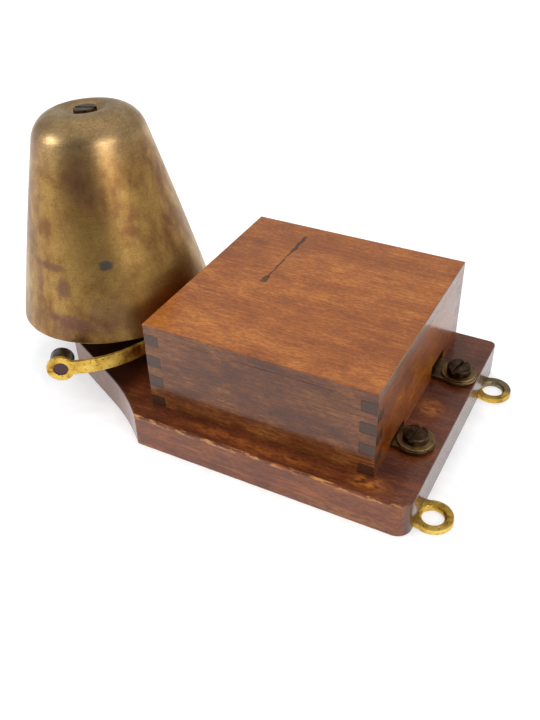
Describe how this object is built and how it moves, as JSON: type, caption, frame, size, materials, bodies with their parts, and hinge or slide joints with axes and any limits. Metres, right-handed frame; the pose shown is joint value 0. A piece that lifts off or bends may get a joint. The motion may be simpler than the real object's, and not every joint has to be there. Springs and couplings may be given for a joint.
{
  "type": "electric trembler bell",
  "caption": "Wall-mounting electric trembler bell: shaped wooden board, box cover over the magnet and contact breaker, conical brass gong, striker arm and end terminals",
  "frame": {"origin": "on the board's back face, under the middle of the square cover", "axes": "+X towards the terminals and hanging eyes (up when hung on a wall), +Y across the board away from the hammer, +Z out of the board towards the cover's lid and the gong's crown"},
  "size_m": [0.2018, 0.1065, 0.1072],
  "materials": {
    "board_wood": "satin, dark red-brown varnish, worn at the edges",
    "cover_wood": "satin, red-brown varnish",
    "end_wall_wood": "satin, red-brown varnish",
    "block_wood": "bare",
    "gong_brass": "aged, finely turned",
    "worn_brass": "aged, worn edges",
    "turned_brass": "turned",
    "cast_brass": "rough cast",
    "terminal_brass": "aged",
    "rivet_brass": "plain",
    "bronze_screw": "dark patina",
    "dark_steel": "darkened",
    "soft_iron": "plain",
    "spring_steel": "rolled",
    "screw_steel": "plain",
    "contact_silver": "plain",
    "bobbin_ebonite": "turned",
    "winding_silk": "silk-covered wire",
    "lead_cotton": "cotton-covered wire"
  },
  "bodies": {
    "base": {"base_board": "board_wood", "gong_pillar": "turned_brass", "gong_screw": "bronze_screw", "gong_washer": "worn_brass", "pillar_screws": "screw_steel", "cover_locating_blocks": "block_wood", "leaf_spring_post": "turned_brass", "leaf_spring_clamp": "turned_brass", "leaf_spring_clamp_screws": "screw_steel", "contact_post": "turned_brass", "contact_lock_nut": "turned_brass", "magnet_cores": "soft_iron", "coil_bobbins": "bobbin_ebonite", "coil_windings": "winding_silk", "core_screws": "screw_steel", "magnet_yoke": "soft_iron", "yoke_screws": "screw_steel", "near_terminal_strip": "terminal_brass", "far_terminal_strip": "terminal_brass", "terminal_strip_collars": "terminal_brass", "terminal_strip_screws": "screw_steel", "near_hanging_plate": "cast_brass", "far_hanging_plate": "cast_brass", "hanging_plate_screws": "screw_steel", "lead_strip_to_contact_post": "lead_cotton", "lead_coil_to_spring_post": "lead_cotton", "lead_coil_to_far_strip": "lead_cotton", "lead_between_coils": "lead_cotton"},
    "cover": {"cover_lid": "cover_wood", "cover_near_wall": "cover_wood", "cover_far_wall": "cover_wood", "cover_gong_end_wall": "end_wall_wood", "cover_terminal_end_wall": "end_wall_wood"},
    "gong": {"gong": "gong_brass"},
    "armature": {"armature": "soft_iron", "arm_rivets": "rivet_brass", "leaf_spring_rivets": "rivet_brass", "leaf_spring": "spring_steel", "striker_arm": "cast_brass", "hammer": "dark_steel", "contact_spring": "spring_steel", "contact_spring_rivet": "rivet_brass", "contact_stud": "contact_silver"},
    "contact_tip": {"contact_tip": "contact_silver"},
    "contact_screw": {"contact_screw": "turned_brass"},
    "near_terminal_washer": {"near_terminal_washer": "worn_brass"},
    "near_terminal_screw": {"near_terminal_screw": "bronze_screw"},
    "far_terminal_washer": {"far_terminal_washer": "worn_brass"},
    "far_terminal_screw": {"far_terminal_screw": "bronze_screw"}
  },
  "joints": [
    {"name": "cover_lift", "type": "slide", "parent": "base", "child": "cover", "axis": [0, 0, 1], "range_m": [0, 0.06]},
    {"name": "armature_swing", "type": "hinge", "parent": "base", "child": "armature", "pos_m": [0.02575, -0.0186, 0.0248], "axis": [0, 0, -1], "range_deg": [0, 2.05], "stiffness_Nm_per_rad": 0.8, "deforming": ["leaf_spring"]},
    {"name": "gong_turn", "type": "hinge", "parent": "base", "child": "gong", "pos_m": [-0.09491, 0.00115, 0.10442], "axis": [-0.0725, 0.0426, 0.9965], "continuous": true},
    {"name": "contact_tip_slide", "type": "slide", "parent": "base", "child": "contact_tip", "axis": [0, -1, 0], "range_m": [0, 0.0014]},
    {"name": "contact_screw_turn", "type": "hinge", "parent": "contact_tip", "child": "contact_screw", "pos_m": [-0.003, -0.037, 0.0248], "axis": [0, -1, 0], "range_deg": [0, 720]},
    {"name": "near_washer_slide", "type": "slide", "parent": "base", "child": "near_terminal_washer", "axis": [0, 0, 1], "range_m": [0, 0.0016]},
    {"name": "near_screw_turn", "type": "hinge", "parent": "near_terminal_washer", "child": "near_terminal_screw", "pos_m": [0.0518, -0.0228, 0.019], "axis": [0, 0, 1], "range_deg": [0, 720]},
    {"name": "far_washer_slide", "type": "slide", "parent": "base", "child": "far_terminal_washer", "axis": [0, 0, 1], "range_m": [0, 0.0016]},
    {"name": "far_screw_turn", "type": "hinge", "parent": "far_terminal_washer", "child": "far_terminal_screw", "pos_m": [0.0538, 0.0209, 0.019], "axis": [0, 0, 1], "range_deg": [0, 720]}
  ],
  "couplings": [
    {"joint": "contact_screw_turn", "follows": "contact_tip_slide", "rad_per_m": 8976},
    {"joint": "near_screw_turn", "follows": "near_washer_slide", "rad_per_m": 7854},
    {"joint": "far_screw_turn", "follows": "far_washer_slide", "rad_per_m": 7854}
  ]
}
